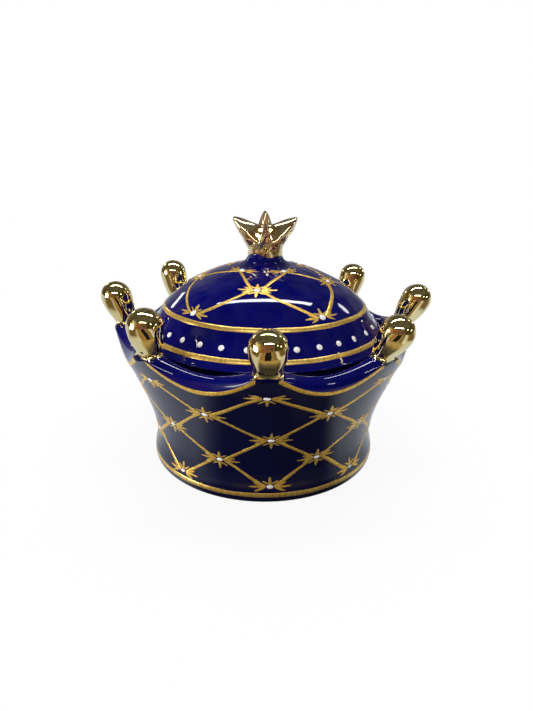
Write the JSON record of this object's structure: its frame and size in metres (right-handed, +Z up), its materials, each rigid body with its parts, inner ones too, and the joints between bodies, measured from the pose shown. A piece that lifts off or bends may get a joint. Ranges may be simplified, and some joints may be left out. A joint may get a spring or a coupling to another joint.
{
  "type": "orisha crown, a crown-shaped lidded jar",
  "caption": "Glazed ceramic jar in the form of a crown: waisted bowl, scalloped lip with egg-shaped knobs on its peaks, domed lid that lifts off, small pointed crown as its handle.",
  "frame": {"origin": "under the middle of the foot, on the surface that the jar stands on", "axes": "+Z up along the jar's axis; -Y towards the front peak, which the picture shows nearest; +X to the right as seen from the front"},
  "size_m": [0.2423, 0.2412, 0.183],
  "materials": {
    "blue_glaze": "gloss cobalt blue glaze",
    "gold_lustre": "fired bright gold lustre"
  },
  "bodies": {
    "jar": {"bowl_wall": "blue_glaze", "lid_ledge": "blue_glaze", "crown_lip": "blue_glaze", "knob_1": "gold_lustre", "knob_2": "gold_lustre", "knob_3": "gold_lustre", "knob_4": "gold_lustre", "knob_5": "gold_lustre", "knob_6": "gold_lustre", "knob_7": "gold_lustre", "knob_8": "gold_lustre"},
    "lid": {"lid_dome": "blue_glaze", "finial": "gold_lustre"}
  },
  "joints": [
    {"name": "lid_lift", "type": "slide", "parent": "jar", "child": "lid", "axis": [0, 0, 1], "range_m": [0, 0.1]}
  ]
}
